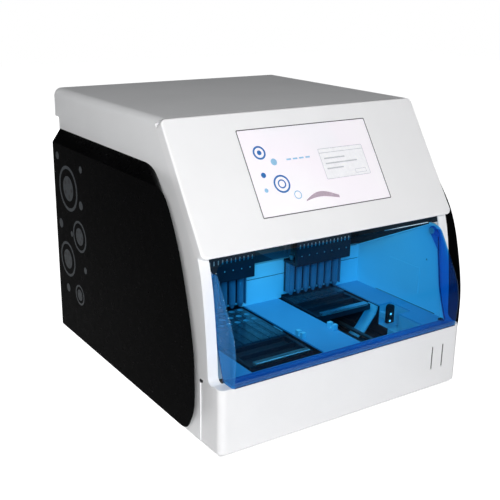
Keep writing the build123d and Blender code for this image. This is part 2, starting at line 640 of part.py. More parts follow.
for label, s in (("fan_rotor_left", -1), ("fan_rotor_right", 1)):
    fx = s * FAN_X
    with BuildPart() as rotor:
        rod_y(fx, FAN_Z, 15, 617, 635)
        for k in range(7):
            a = 2 * math.pi * k / 7
            with BuildSketch(Plane(
                origin=(fx + 14 * math.cos(a), 626 + YO, FAN_Z + ZO + 14 * math.sin(a)),
                x_dir=(-math.sin(a) * math.cos(0.6), math.sin(0.6), math.cos(a) * math.cos(0.6)),
                z_dir=(math.cos(a), 0, math.sin(a)),
            )):
                Rectangle(19, 1.6)
            extrude(amount=21.5)
        rod_y(fx, FAN_Z, 2.06, 616, 633, mode=Mode.SUBTRACT)
    save(rotor, label)

with BuildPart() as fan_guards:
    for s in (-1, 1):
        fx = s * FAN_X
        for r in (12, 22, 32, 42):
            with BuildSketch(Plane.XZ.offset(-(641.2 + YO))):
                with Locations((fx, FAN_Z + ZO)):
                    Circle(r + 0.8)
                    Circle(r - 0.8, mode=Mode.SUBTRACT)
            extrude(amount=-1.6)
        block(fx - 44, fx + 44, 640, 641.4, FAN_Z - 1, FAN_Z + 1)
        block(fx - 1, fx + 1, 640, 641.4, FAN_Z - 44, FAN_Z + 44)
save(fan_guards, "fan_guards")

# ---------------------------------------------------------------- lift-up door
with BuildPart() as door_panel:
    with BuildSketch(Plane.YZ.offset(-DOOR_HW)):
        with BuildLine():
            Spline([(y + YO, z + ZO) for y, z in (
                (-6.5, 122.5), (-9.0, 142.0), (DOOR_FRONT, 164.0), (-4.4, 207.5), (16.9, 250.0), (38.5, 287.0), (60.0, 319.8),
            )])
            Polyline([(y + YO, z + ZO) for y, z in (
                (60.0, 319.8), (67.6, 319.8), (62.0, 298.0), (56.0, 259.0), (44.8, 189.0), (35.4, 157.0), (22.5, 122.5), (-6.5, 122.5),
            )])
        make_face()
    extrude(amount=2 * DOOR_HW)
    front_bends = door_panel.edges().filter_by(
        lambda e: abs(abs(e.center().X) - DOOR_HW) < 0.1 and e.length > 190 and e.geom_type == GeomType.BSPLINE
    )
    fillet(front_bends, 6)
    with BuildSketch(Plane.YZ.offset(-(DOOR_HW - DOOR_T))):
        with BuildLine():
            Spline([(y + YO, z + ZO) for y, z in (
                (-3.7, 125.5), (-6.0, 142.0), (DOOR_FRONT + 3.0, 164.0), (-1.6, 206.5), (19.4, 248.2), (41.1, 285.4), (65.0, 321.8),
            )])
            Polyline([(y + YO, z + ZO) for y, z in (
                (65.0, 321.8), (90.0, 321.8), (90.0, 125.5), (-3.7, 125.5),
            )])
        make_face()
    extrude(amount=2 * (DOOR_HW - DOOR_T), mode=Mode.SUBTRACT)
    # rounded upper corners
    for s in (-1, 1):
        with BuildSketch(Plane.XZ.offset(20 - YO)) as corner:
            with Locations((s * (DOOR_HW - 15 + 0.1), 320 - 15 + ZO)):
                Rectangle(30.2, 30.2)
            with Locations((s * (DOOR_HW - 30), 320 - 30 + ZO)):
                Circle(30, mode=Mode.SUBTRACT)
        extrude(amount=-110, mode=Mode.SUBTRACT)
    # hinge ears
    for s in (-1, 1):
        xa, xb = sorted((s * (DOOR_HW - DOOR_T), s * DOOR_HW))
        side_profile([(52, 262), (54, 291), (70, 304.0), (79, 303.0), (82.4, 293.0), (77.0, 287.6), (56.6, 262)], xa, xb)
        rod_x(xa, xb, HINGE_Y, HINGE_Z, 9)
        rod_x(xa - 1, xb + 1, HINGE_Y, HINGE_Z, 3, mode=Mode.SUBTRACT)
save(door_panel, "door_panel")

with BuildPart() as door_pins:
    for s in (-1, 1):
        xa, xb = sorted((s * 254.0, s * 267.5))
        rod_x(xa, xb, HINGE_Y, HINGE_Z, 3)
        xa, xb = sorted((s * 254.0, s * 257.0))
        rod_x(xa, xb, HINGE_Y, HINGE_Z, 6)
save(door_pins, "door_pins")

with BuildPart() as hinge_blocks:
    for s in (-1, 1):
        xa, xb = sorted((s * 262.5, s * 268.0))
        block(xa, xb, 66, 90, 284, 308)
        rod_x(xa - 1, xb + 1, HINGE_Y, HINGE_Z, 3.05, mode=Mode.SUBTRACT)
save(hinge_blocks, "hinge_blocks")

with BuildPart() as door_bumpers:
    for s in (-1, 1):
        xa, xb = sorted((s * 254.0, s * 261.6))
        side_profile([(25.5, LEDGE_Z), (36.0, LEDGE_Z), (36.0, 123.5), (29.5, 123.5)], xa, xb)
save(door_bumpers, "door_bumpers")

# ---------------------------------------------------------------- feet and screws
with BuildPart() as feet:
    for fx in (-235, 235):
        for fy in (50, 600):
            with BuildSketch(Plane.XY):
                with Locations((fx, fy + YO)):
                    Circle(12.5)
            with BuildSketch(Plane.XY.offset(FOOT_H)):
                with Locations((fx, fy + YO)):
                    Circle(14.5)
            loft()
save(feet, "feet")

with BuildPart() as screws:
    for sx, sz in ((-268, 20), (0, 20), (268, 20), (-268, 200), (268, 200), (-268, 380), (268, 380), (-268, 520), (0, 520), (268, 520)):
        rod_y(sx, sz, 4, 640, 641.8)
    for sx, sy in ((-255, 330), (-255, 430), (255, 330), (255, 430), (7, 380)):
        rod_z(sx, sy, 3.2, LEDGE_Z, LEDGE_Z + 1.6)
save(screws, "screws")
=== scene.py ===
import math

import bmesh
import bpy
from mathutils import Matrix, Vector


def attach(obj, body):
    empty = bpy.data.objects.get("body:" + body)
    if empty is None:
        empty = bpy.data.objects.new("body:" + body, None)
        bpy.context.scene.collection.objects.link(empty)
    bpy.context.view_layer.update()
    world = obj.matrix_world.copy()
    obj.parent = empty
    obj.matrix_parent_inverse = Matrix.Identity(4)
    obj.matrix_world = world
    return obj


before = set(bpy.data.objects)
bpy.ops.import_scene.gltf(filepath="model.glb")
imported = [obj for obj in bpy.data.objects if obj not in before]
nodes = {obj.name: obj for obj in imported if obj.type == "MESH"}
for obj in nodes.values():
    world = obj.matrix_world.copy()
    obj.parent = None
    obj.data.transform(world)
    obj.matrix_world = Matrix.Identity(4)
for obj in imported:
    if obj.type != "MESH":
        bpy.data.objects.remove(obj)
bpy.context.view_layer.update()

# ------------------------------------------------------------------ the part's own reference values (metres)
MM = 0.001
YO = -(672.0 - 10.3) / 2
ZO = 8.0
LEAN = math.atan2(139.0, 207.4)
SIN, COS = math.sin(LEAN), math.cos(LEAN)
FACE_O = Vector((0, 50.8 + YO, 334.0 + ZO))
WELL_X = {"left": -115.5, "right": 130.0}
TRAY_Y = {"left": 51.0, "right": 173.0}
PITCH = 19.6
DOOR_HALF = 260.0


def P(x, y, z):
    return Vector((x * MM, (y + YO) * MM, (z + ZO) * MM))


def on_face(x, s, out=0.0):
    """A point on the leaning front panel: x across, s up the slant, out in front of it, in mm."""
    return Vector((x, FACE_O.y + s * SIN - out * COS, FACE_O.z + s * COS + out * SIN)) * MM


# ------------------------------------------------------------------ materials
def material(name):
    m = bpy.data.materials.new(name)
    m.use_nodes = True
    nt = m.node_tree
    nt.nodes.clear()
    out = nt.nodes.new("ShaderNodeOutputMaterial")
    bsdf = nt.nodes.new("ShaderNodeBsdfPrincipled")
    nt.links.new(bsdf.outputs[0], out.inputs[0])
    return m, nt, bsdf, out


def coords(nt, scale=(1, 1, 1)):
    tc = nt.nodes.new("ShaderNodeTexCoord")
    mp = nt.nodes.new("ShaderNodeMapping")
    mp.inputs["Scale"].default_value = scale
    nt.links.new(tc.outputs["Object"], mp.inputs["Vector"])
    return mp.outputs["Vector"]


def noise(nt, vec, scale, detail=2.0, rough=0.5):
    n = nt.nodes.new("ShaderNodeTexNoise")
    n.inputs["Scale"].default_value = scale
    n.inputs["Detail"].default_value = detail
    n.inputs["Roughness"].default_value = rough
    nt.links.new(vec, n.inputs["Vector"])
    return n.outputs["Fac"]


def ramp(nt, fac, stops):
    r = nt.nodes.new("ShaderNodeValToRGB")
    els = r.color_ramp.elements
    while len(els) < len(stops):
        els.new(0.5)
    for e, (p, c) in zip(els, stops):
        e.position = p
        e.color = (*c, 1)
    nt.links.new(fac, r.inputs["Fac"])
    return r.outputs["Color"]


def span(nt, fac, lo, hi, a=0.0, b=1.0):
    m = nt.nodes.new("ShaderNodeMapRange")
    m.inputs["From Min"].default_value = a
    m.inputs["From Max"].default_value = b
    m.inputs["To Min"].default_value = lo
    m.inputs["To Max"].default_value = hi
    nt.links.new(fac, m.inputs["Value"])
    return m.outputs["Result"]


def bump(nt, bsdf, height, strength, distance):
    b = nt.nodes.new("ShaderNodeBump")
    b.inputs["Strength"].default_value = strength
    b.inputs["Distance"].default_value = distance
    nt.links.new(height, b.inputs["Height"])
    nt.links.new(b.outputs["Normal"], bsdf.inputs["Normal"])
    return b


def moulded(name, colour, rough=0.4, vary=0.03, grain=900.0, depth=0.00004, spread=0.06, coat=0.0, spec=0.5):
    """Moulded or painted surface: faint tone drift, fine spark texture and uneven sheen."""
    m, nt, p, _ = material(name)
    v = coords(nt)
    lo = [max(0.0, c * (1 - vary)) for c in colour]
    hi = [min(1.0, c * (1 + vary)) for c in colour]
    c = ramp(nt, noise(nt, v, 9.0, 3.0), [(0.35, lo), (0.65, hi)])
    nt.links.new(c, p.inputs["Base Color"])
    nt.links.new(span(nt, noise(nt, v, 55.0, 3.0), rough - spread, rough + spread, 0.3, 0.7), p.inputs["Roughness"])
    bump(nt, p, noise(nt, v, grain, 2.0), 0.25, depth)
    p.inputs["Coat Weight"].default_value = coat
    p.inputs["Coat Roughness"].default_value = 0.12
    p.inputs["Specular IOR Level"].default_value = spec
    return m


def brushed(name, colour, axis=0, rough=0.3, spread=0.1):
    """Ground or drawn metal with fine lines along one axis."""
    m, nt, p, _ = material(name)
    scale = [900.0, 900.0, 900.0]
    scale[axis] = 12.0
    v = coords(nt, tuple(scale))
    n = noise(nt, v, 1.0, 4.0, 0.6)
    lo = [c * 0.82 for c in colour]
    c = ramp(nt, n, [(0.3, lo), (0.7, colour)])
    nt.links.new(c, p.inputs["Base Color"])
    nt.links.new(span(nt, n, rough - spread, rough + spread, 0.3, 0.7), p.inputs["Roughness"])
    bump(nt, p, n, 0.3, 0.00003)
    p.inputs["Metallic"].default_value = 1.0
    return m


# one white plastic in three tones: the fascia's is painted lighter (painted light) and the front box's darker (painted
# shade), each set by how the light falls on that face
WHITE = moulded("white_moulded_shell", (0.885, 0.89, 0.90), rough=0.46, vary=0.012, grain=1400, depth=0.00003, spec=0.28)
WHITE_PAINTED_LIGHT = moulded("white_shell_painted_light", (0.915, 0.915, 0.925), rough=0.42, vary=0.010, grain=1400, depth=0.00003, spec=0.30)
WHITE_PAINTED_SHADE = moulded("white_shell_painted_shade", (0.84, 0.84, 0.85), rough=0.50, vary=0.010, grain=1400, depth=0.00003, spec=0.22)
BLACK = moulded("black_satin_shell", (0.0011, 0.0011, 0.0013), rough=0.30, vary=0.25, grain=1200, depth=0.00002)
BLACK.node_tree.nodes["Principled BSDF"].inputs["IOR"].default_value = 1.06
DECK = moulded("deck_blue_grey_paint", (0.32, 0.47, 0.62), rough=0.5, vary=0.03, grain=700, depth=0.00006)
SHEET = moulded("powder_coated_sheet", (0.78, 0.79, 0.80), rough=0.5, vary=0.02, grain=700, depth=0.00006)
DARK = moulded("dark_fine_plastic", (0.010, 0.012, 0.020), rough=0.42, vary=0.2, grain=900, depth=0.00005, spec=0.3)
DARKER = moulded("black_matt_plastic", (0.010, 0.011, 0.013), rough=0.55, vary=0.2, grain=900, depth=0.00006)
GREY = moulded("grey_fine_plastic", (0.32, 0.33, 0.35), rough=0.45, vary=0.06, grain=900, depth=0.00005)
HOOD = moulded("blue_grey_hood", (0.08, 0.19, 0.28), rough=0.45, vary=0.15, grain=900, depth=0.00006)
TRAY = moulded("anodised_dark_tray", (0.016, 0.019, 0.026), rough=0.38, vary=0.2, grain=900, depth=0.00004)
RUBBER = moulded("black_rubber", (0.018, 0.018, 0.018), rough=0.8, vary=0.15, grain=500, depth=0.0001)
ZINC = brushed("bright_zinc_steel", (0.62, 0.63, 0.65), axis=2, rough=0.32)
ZINC_Y = brushed("drawn_steel_plate", (0.58, 0.59, 0.61), axis=1, rough=0.28)
# the rails and tray screws sit down in the dark wells: their steel is painted darker, painted shade
RAIL_PAINTED_SHADE = brushed("rail_steel_painted_shade", (0.30, 0.31, 0.33), axis=1, rough=0.36)
ALU = brushed("anodised_aluminium", (0.80, 0.81, 0.83), axis=2, rough=0.34)
ALU_X = brushed("bright_handle_bar", (0.88, 0.89, 0.91), axis=0, rough=0.26)


def tinted(name, colour, gloss=0.05, fresnel_ior=1.49):
    """Clear tinted acrylic sheet: what is behind it shows through the tint, with a clear surface reflection."""
    m, nt, p, out = material(name)
    nt.nodes.remove(p)
    tr = nt.nodes.new("ShaderNodeBsdfTransparent")
    v = coords(nt)
    lo = [c * 0.97 for c in colour]
    c = ramp(nt, noise(nt, v, 6.0, 2.0), [(0.35, lo), (0.65, colour)])
    nt.links.new(c, tr.inputs["Color"])
    gl = nt.nodes.new("ShaderNodeBsdfGlossy")
    gl.inputs["Color"].default_value = (0.9, 0.95, 1.0, 1)
    nt.links.new(span(nt, noise(nt, v, 40.0, 2.0), gloss * 0.6, gloss * 1.6, 0.3, 0.7), gl.inputs["Roughness"])
    fr = nt.nodes.new("ShaderNodeFresnel")
    fr.inputs["IOR"].default_value = fresnel_ior
    geo = nt.nodes.new("ShaderNodeNewGeometry")
    outer = nt.nodes.new("ShaderNodeMath")
    outer.operation = "SUBTRACT"
    outer.inputs[0].default_value = 1.0
    nt.links.new(geo.outputs["Backfacing"], outer.inputs[1])
    facing = nt.nodes.new("ShaderNodeMath")
    facing.operation = "MULTIPLY"
    nt.links.new(fr.outputs[0], facing.inputs[0])
    nt.links.new(outer.outputs[0], facing.inputs[1])
    mx = nt.nodes.new("ShaderNodeMixShader")
    nt.links.new(facing.outputs[0], mx.inputs["Fac"])
    nt.links.new(tr.outputs[0], mx.inputs[1])
    nt.links.new(gl.outputs[0], mx.inputs[2])
    nt.links.new(mx.outputs[0], out.inputs[0])
    return m


BLUE_CLEAR = tinted("blue_tinted_acrylic", (0.30, 0.77, 0.985), gloss=0.05, fresnel_ior=1.16)


def deepen(m, band_top, side_from, colour, scatter, amount):
    """Deepen the tint of a clear sheet along its lower edge and its side flanges, deeper still on the flange on the +x
    side as painted shade.
    """
    nt = m.node_tree
    tr = [n for n in nt.nodes if n.bl_idname == "ShaderNodeBsdfTransparent"][0]
    base = tr.inputs["Color"].links[0].from_socket
    tc = nt.nodes.new("ShaderNodeTexCoord")
    sep = nt.nodes.new("ShaderNodeSeparateXYZ")
    nt.links.new(tc.outputs["Object"], sep.inputs[0])
    low = span(nt, sep.outputs[2], 1.0, 0.0, band_top - 0.0008, band_top + 0.0008)
    wide = nt.nodes.new("ShaderNodeMath")
    wide.operation = "ABSOLUTE"
    nt.links.new(sep.outputs[0], wide.inputs[0])
    flank = span(nt, wide.outputs[0], 0.0, 1.0, side_from - 0.0006, side_from + 0.0006)
    shaded = span(nt, sep.outputs[0], 0.0, 1.0, side_from - 0.0006, side_from + 0.0006)
    both = nt.nodes.new("ShaderNodeMath")
    both.operation = "MAXIMUM"
    nt.links.new(low, both.inputs[0])
    nt.links.new(flank, both.inputs[1])
    mx = nt.nodes.new("ShaderNodeMix")
    mx.data_type = "RGBA"
    mx.blend_type = "MULTIPLY"
    mx.inputs[7].default_value = (*colour, 1)
    nt.links.new(both.outputs[0], mx.inputs[0])
    nt.links.new(base, mx.inputs[6])
    # painted shade: the flange on the +x side, turned away from the light, gets an extra deeper tint
    far = nt.nodes.new("ShaderNodeMix")
    far.data_type = "RGBA"
    far.blend_type = "MULTIPLY"
    far.inputs[7].default_value = (0.80, 0.96, 1.0, 1)
    nt.links.new(shaded, far.inputs[0])
    nt.links.new(mx.outputs[2], far.inputs[6])
    nt.links.new(far.outputs[2], tr.inputs["Color"])
    # a little light scatters in the bent and polished zones; painted shade: less of it on the flange turned away from
    # the light
    out = [n for n in nt.nodes if n.bl_idname == "ShaderNodeOutputMaterial"][0]
    clear = out.inputs[0].links[0].from_socket
    haze = nt.nodes.new("ShaderNodeBsdfDiffuse")
    c = ramp(nt, noise(nt, coords(nt), 30.0, 2.0), [(0.35, scatter), (0.65, [x * 1.1 for x in scatter])])
    glow = nt.nodes.new("ShaderNodeMix")
    glow.data_type = "RGBA"
    glow.inputs[7].default_value = (0.08, 0.42, 0.95, 1)
    nt.links.new(flank, glow.inputs[0])
    nt.links.new(c, glow.inputs[6])
    nt.links.new(glow.outputs[2], haze.inputs["Color"])
    part = nt.nodes.new("ShaderNodeMath")
    part.operation = "MULTIPLY"
    part.inputs[1].default_value = amount
    lit = nt.nodes.new("ShaderNodeMath")
    lit.operation = "MULTIPLY_ADD"
    lit.inputs[1].default_value = -0.65
    nt.links.new(shaded, lit.inputs[0])
    nt.links.new(both.outputs[0], lit.inputs[2])
    nt.links.new(lit.outputs[0], part.inputs[0])
    top = nt.nodes.new("ShaderNodeMixShader")
    nt.links.new(part.outputs[0], top.inputs["Fac"])
    nt.links.new(clear, top.inputs[1])
    nt.links.new(haze.outputs[0], top.inputs[2])
    nt.links.new(top.outputs[0], out.inputs[0])


deepen(BLUE_CLEAR, (133.0 + ZO) * MM, 0.2566, (0.95, 0.86, 0.88), (0.12, 0.28, 0.62), 0.22)
CLEAR = tinted("clear_moulded_plastic", (0.84, 0.90, 0.93), gloss=0.12)


def frosted(name, colour, rough=0.3, alpha=0.6):
    """Translucent moulded plastic, partly see-through."""
    m, nt, p, _ = material(name)
    v = coords(nt)
    c = ramp(nt, noise(nt, v, 60.0, 2.0), [(0.3, [x * 0.93 for x in colour]), (0.7, colour)])
    nt.links.new(c, p.inputs["Base Color"])
    nt.links.new(span(nt, noise(nt, v, 200.0, 2.0), rough - 0.08, rough + 0.08, 0.3, 0.7), p.inputs["Roughness"])
    p.inputs["Alpha"].default_value = alpha
    return m




def banded(name, near, far, axis, at, rough=0.25, soft=0.0004, also=None, either=None):
    """Two tones on one piece, parted at a plane of the piece's own frame (metres); several uses paint light or shade
    with one of the tones.
    """
    m, nt, p, _ = material(name)
    tc = nt.nodes.new("ShaderNodeTexCoord")
    sep = nt.nodes.new("ShaderNodeSeparateXYZ")
    nt.links.new(tc.outputs["Object"], sep.inputs[0])
    mask = span(nt, sep.outputs[axis], 0.0, 1.0, at - soft, at + soft)
    if also:
        ax2, at2, sense = also
        second = span(nt, sep.outputs[ax2], 0.0, 1.0, at2 - soft * sense, at2 + soft * sense)
        both = nt.nodes.new("ShaderNodeMath")
        both.operation = "MULTIPLY"
        nt.links.new(mask, both.inputs[0])
        nt.links.new(second, both.inputs[1])
        mask = both.outputs[0]
    if either:
        a1, at1, a2, at2 = either
        one = span(nt, sep.outputs[a1], 0.0, 1.0, at1 - soft, at1 + soft)
        two = span(nt, sep.outputs[a2], 1.0, 0.0, at2 - soft, at2 + soft)
        patch = nt.nodes.new("ShaderNodeMath")
        patch.operation = "MULTIPLY"
        nt.links.new(one, patch.inputs[0])
        nt.links.new(two, patch.inputs[1])
        whole = nt.nodes.new("ShaderNodeMath")
        whole.operation = "MAXIMUM"
        nt.links.new(mask, whole.inputs[0])
        nt.links.new(patch.outputs[0], whole.inputs[1])
        mask = whole.outputs[0]
    v = coords(nt)
    ca = ramp(nt, noise(nt, v, 60.0, 2.0), [(0.3, [x * 0.88 for x in near]), (0.7, near)])
    cb = ramp(nt, noise(nt, v, 60.0, 2.0), [(0.3, [x * 0.88 for x in far]), (0.7, far)])
    mx = nt.nodes.new("ShaderNodeMix")
    mx.data_type = "RGBA"
    nt.links.new(mask, mx.inputs[0])
    nt.links.new(ca, mx.inputs[6])
    nt.links.new(cb, mx.inputs[7])
    nt.links.new(mx.outputs[2], p.inputs["Base Color"])
    nt.links.new(span(nt, noise(nt, v, 180.0, 2.0), rough - 0.06, rough + 0.06, 0.3, 0.7), p.inputs["Roughness"])
    bump(nt, p, noise(nt, v, 700.0, 2.0), 0.2, 0.00003)
    p.inputs["Coat Weight"].default_value = 0.25
    return m


# the web behind the sleeves is dark: painted shade in the gaps between the tubes
COMB = banded("smoky_sleeve_comb_web_shade", (0.16, 0.20, 0.26), (0.012, 0.016, 0.024), 1, (289.8 + YO) * MM, rough=0.20)
# dark strip plastic, pale inside the rear wells below the strip tops: painted highlight
STRIP = {
    side: banded(side + "_strip_plastic_and_highlight", (0.060, 0.066, 0.080), (0.46, 0.49, 0.52), 1, (TRAY_Y[side] + 172 + YO) * MM,
                 rough=0.22, also=(2, (120.9 + ZO) * MM, -1))
    for side in ("left", "right")
}
# the wells are painted dark, painted shade in the deep wells; the right one keeps a pale bay at its right side
TUB_SHADE = {
    "left": DARKER,
    "right": banded("right_well_painted_shade", (0.012, 0.014, 0.018), (0.60, 0.66, 0.72), 0, (WELL_X["right"] + 81.2) * MM, rough=0.45,
                    either=(0, (WELL_X["right"] + 78.5) * MM, 1, (130.0 + YO) * MM)),
}


def sloped_liner(name, pale, dark):
    """Chamber side: pale sheet paint up to the folded edge that rises to the front; above it dark, painted shade."""
    m, nt, p, _ = material(name)
    tc = nt.nodes.new("ShaderNodeTexCoord")
    sep = nt.nodes.new("ShaderNodeSeparateXYZ")
    nt.links.new(tc.outputs["Object"], sep.inputs[0])
    slope = (301.8 - 204.2) / (92.0 - 299.4)
    rise = nt.nodes.new("ShaderNodeMath")
    rise.operation = "MULTIPLY_ADD"
    rise.inputs[1].default_value = -slope
    nt.links.new(sep.outputs[1], rise.inputs[0])
    nt.links.new(sep.outputs[2], rise.inputs[2])
    edge = (206.6 + ZO - slope * (299.4 + YO)) * MM
    mask = span(nt, rise.outputs[0], 0.0, 1.0, edge - 0.0004, edge + 0.0004)
    v = coords(nt)
    ca = ramp(nt, noise(nt, v, 9.0, 3.0), [(0.35, [x * 0.97 for x in pale]), (0.65, pale)])
    cb = ramp(nt, noise(nt, v, 40.0, 3.0), [(0.35, [x * 0.7 for x in dark]), (0.65, dark)])
    mx = nt.nodes.new("ShaderNodeMix")
    mx.data_type = "RGBA"
    nt.links.new(mask, mx.inputs[0])
    nt.links.new(ca, mx.inputs[6])
    nt.links.new(cb, mx.inputs[7])
    nt.links.new(mx.outputs[2], p.inputs["Base Color"])
    nt.links.new(span(nt, noise(nt, v, 55.0, 3.0), 0.44, 0.56, 0.3, 0.7), p.inputs["Roughness"])
    bump(nt, p, noise(nt, v, 700.0, 2.0), 0.25, 0.00006)
    return m


LINER = sloped_liner("chamber_side_paint_and_shade", (0.78, 0.79, 0.80), (0.022, 0.034, 0.046))
SENSOR = banded("sensor_plate_plastic", (0.010, 0.011, 0.013), (0.60, 0.66, 0.72), 1, (138.3 + YO) * MM, rough=0.45)
PIN = brushed("satin_pin_steel", (0.86, 0.87, 0.89), axis=0, rough=0.62)
RIBBON = frosted("flat_cable_film", (0.66, 0.76, 0.80), rough=0.3, alpha=0.95)
bump(RIBBON.node_tree, RIBBON.node_tree.nodes["Principled BSDF"], noise(RIBBON.node_tree, coords(RIBBON.node_tree), 70.0, 3.0), 0.9, 0.004)

# ------------------------------------------------------------------ lit screen
SCREEN, nt, p, _ = material("lit_screen_glass")
v = coords(nt)
tint = ramp(nt, noise(nt, v, 5.0, 2.0, 0.4), [(0.30, (0.86, 0.86, 0.90)), (0.50, (0.92, 0.87, 0.93)), (0.72, (0.93, 0.91, 0.94))])
nt.links.new(tint, p.inputs["Base Color"])
nt.links.new(tint, p.inputs["Emission Color"])
p.inputs["Emission Strength"].default_value = 0.17
nt.links.new(span(nt, noise(nt, v, 30.0, 2.0), 0.16, 0.26, 0.3, 0.7), p.inputs["Roughness"])
p.inputs["Coat Weight"].default_value = 0.3


def plain_print(name, colour, rough=0.35, glow=0.0):
    m, nt, p, _ = material(name)
    v = coords(nt)
    c = ramp(nt, noise(nt, v, 90.0, 2.0), [(0.3, [x * 0.93 for x in colour]), (0.7, colour)])
    nt.links.new(c, p.inputs["Base Color"])
    if glow:
        nt.links.new(c, p.inputs["Emission Color"])
        p.inputs["Emission Strength"].default_value = glow
    nt.links.new(span(nt, noise(nt, v, 300.0, 2.0), rough - 0.06, rough + 0.06, 0.3, 0.7), p.inputs["Roughness"])
    return m


UI_BLUE = plain_print("ui_blue", (0.035, 0.17, 0.48), 0.25, 0.10)
UI_SKY = plain_print("ui_light_blue", (0.30, 0.55, 0.78), 0.25, 0.10)
UI_GREY = plain_print("ui_grey", (0.55, 0.56, 0.60), 0.25, 0.10)
UI_PALE = plain_print("ui_pale", (0.90, 0.90, 0.93), 0.25, 0.14)
UI_DUSK = plain_print("ui_dusk", (0.50, 0.40, 0.48), 0.25, 0.08)
RIM = plain_print("screen_rim_black", (0.06, 0.06, 0.065), 0.35)
SLATE = plain_print("slate_print", (0.040, 0.048, 0.056), 0.45)
SLATE_D = plain_print("dark_print", (0.006, 0.007, 0.009), 0.40)
LED = plain_print("white_indicator", (0.90, 0.93, 0.95), 0.3, 1.2)


def assign(node, mat):
    o = nodes[node]
    o.data.materials.clear()
    o.data.materials.append(mat)


for n, m in {
    "base_plate": SHEET, "front_cover": WHITE_PAINTED_SHADE, "housing_cover": WHITE, "fascia_panel": WHITE_PAINTED_LIGHT,
    "touch_glass": SCREEN, "display_module": DARKER, "left_side_cover": BLACK, "right_side_cover": BLACK,
    "left_side_plate": LINER, "right_side_plate": LINER, "deck_plate": DECK, "chamber_back_wall": SHEET,
    "upper_shelf": SHEET, "left_tray_tub": TUB_SHADE["left"], "right_tray_tub": TUB_SHADE["right"], "tray_rails": RAIL_PAINTED_SHADE,
    "left_tray": TRAY, "right_tray": TRAY, "left_tray_handle": ALU_X, "right_tray_handle": ALU_X,
    "left_strips": STRIP["left"], "right_strips": STRIP["right"], "left_tray_screw": RAIL_PAINTED_SHADE, "right_tray_screw": RAIL_PAINTED_SHADE,
    "tray_motors": DARKER, "flat_cables": RIBBON, "tray_sensors": SHEET, "strip_sensor": SENSOR,
    "left_head": DARK, "right_head": DARK, "left_pistons": ZINC, "right_pistons": ZINC,
    "left_tips": COMB, "right_tips": COMB, "left_head_screw": ZINC, "right_head_screw": ZINC,
    "left_reader_hood": HOOD, "right_reader_hood": HOOD, "head_columns": ALU, "head_rails": ZINC,
    "head_motors": DARKER, "light_detectors": ZINC, "main_board": moulded("green_board", (0.02, 0.16, 0.07), 0.35, 0.15),
    "power_supply": ZINC_Y, "card_readers": DARKER, "rear_panel": SHEET, "power_inlet": DARKER,
    "power_rocker": DARK, "data_sockets": ZINC_Y, "fan_frames": DARKER, "fan_rotor_left": DARK,
    "fan_rotor_right": DARK, "fan_guards": ZINC, "door_panel": BLUE_CLEAR, "door_pins": PIN,
    "hinge_blocks": SHEET, "door_bumpers": RUBBER, "feet": RUBBER, "screws": ZINC,
}.items():
    assign(n, m)


# ------------------------------------------------------------------ piece helpers
def piece(name, verts, faces, mat, body, smooth=False):
    me = bpy.data.meshes.new(name)
    me.from_pydata([tuple(q) for q in verts], [], faces)
    me.validate()
    bm = bmesh.new()
    bm.from_mesh(me)
    bmesh.ops.recalc_face_normals(bm, faces=bm.faces)
    bm.to_mesh(me)
    bm.free()
    for poly in me.polygons:
        poly.use_smooth = smooth
    me.materials.append(mat)
    o = bpy.data.objects.new(name, me)
    bpy.context.scene.collection.objects.link(o)
    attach(o, body)
    return o


class Shapes:
    """Collects flat, slightly raised shapes on a surface given by a point function f(a, b, height)."""

    def __init__(self, f, height=0.06, base=0.0):
        self.f, self.h, self.b = f, height, base
        self.v, self.q = [], []

    def loop(self, pts, holes=None):
        n = len(pts)
        k = len(self.v)
        self.v += [self.f(a, b, self.b + self.h) for a, b in pts] + [self.f(a, b, self.b) for a, b in pts]
        self.q.append(tuple(range(k, k + n)))
        self.q.append(tuple(range(k + 2 * n - 1, k + n - 1, -1)))
        for i in range(n):
            j = (i + 1) % n
            self.q.append((k + i, k + j, k + n + j, k + n + i))

    def ring(self, outer, inner):
        n = len(outer)
        k = len(self.v)
        for h in (self.b + self.h, self.b):
            self.v += [self.f(a, b, h) for a, b in outer]
            self.v += [self.f(a, b, h) for a, b in inner]
        for i in range(n):
            j = (i + 1) % n
            self.q.append((k + i, k + j, k + n + j, k + n + i))
            self.q.append((k + 2 * n + j, k + 2 * n + i, k + 3 * n + i, k + 3 * n + j))
            self.q.append((k + i, k + 2 * n + i, k + 2 * n + j, k + j))
            self.q.append((k + n + j, k + 3 * n + j, k + 3 * n + i, k + n + i))

    def rect(self, a0, b0, a1, b1):
        self.loop([(a0, b0), (a1, b0), (a1, b1), (a0, b1)])

    def build(self, name, mat, body):
        return piece(name, self.v, self.q, mat, body)


def circle(cx, cy, r, n=40, sx=1.0, turn=0.0):
    pts = []
    for i in range(n):
        t = 2 * math.pi * i / n
        x, y = r * sx * math.cos(t), r * math.sin(t)
        pts.append((cx + x * math.cos(turn) - y * math.sin(turn), cy + x * math.sin(turn) + y * math.cos(turn)))
    return pts


def round_rect(a0, b0, a1, b1, r, n=6):
    pts = []
    for cx, cy, t0 in ((a1 - r, b1 - r, 0), (a0 + r, b1 - r, 90), (a0 + r, b0 + r, 180), (a1 - r, b0 + r, 270)):
        for i in range(n + 1):
            t = math.radians(t0 + 90 * i / n)
            pts.append((cx + r * math.cos(t), cy + r * math.sin(t)))
    return pts


# ------------------------------------------------------------------ screen contents: a generic layout
S0, S1, SW = 50.7, 215.7, 146.0
rim = Shapes(lambda a, b, h: on_face(a, b, h), height=0.10, base=-0.2)
rim.ring(round_rect(-SW, S0, SW, S1, 2.8), round_rect(-SW + 1.7, S0 + 1.7, SW - 1.7, S1 - 1.7, 1.6))
rim.build("screen_rim", RIM, "chassis")

